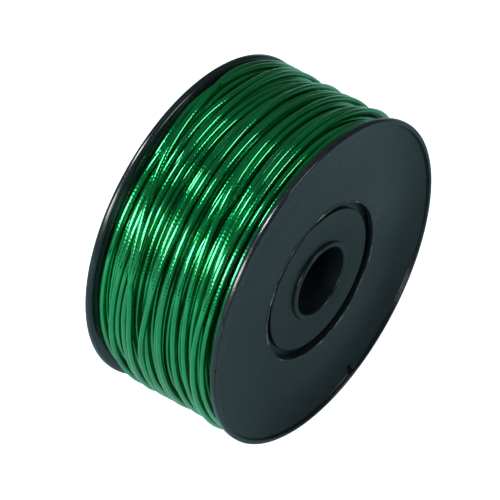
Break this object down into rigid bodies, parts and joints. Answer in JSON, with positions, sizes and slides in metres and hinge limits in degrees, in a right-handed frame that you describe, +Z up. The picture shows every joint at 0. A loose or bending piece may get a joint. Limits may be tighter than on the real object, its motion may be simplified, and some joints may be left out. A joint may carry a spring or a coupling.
{
  "type": "wire spool",
  "caption": "Small moulded plastic spool with two dished, lipped flanges and a central bore, wound full of green insulated hook-up wire.",
  "frame": {"origin": "centre of the spindle bore, midway between the two flanges", "axes": "+Y along the bore, from the near flange to the far flange; +Z up; the spool lies on its two rims"},
  "size_m": [0.0762, 0.035, 0.0762],
  "materials": {
    "black_plastic": "satin moulded black polystyrene",
    "green_insulation": "glossy translucent green insulation over a bright stranded conductor"
  },
  "bodies": {
    "root": {"near_flange": "black_plastic", "far_flange": "black_plastic", "near_hub_cap": "black_plastic", "far_hub_cap": "black_plastic", "spindle_sleeve": "black_plastic", "barrel": "black_plastic", "wire_winding": "green_insulation", "wire_start_end": "green_insulation"}
  },
  "joints": []
}
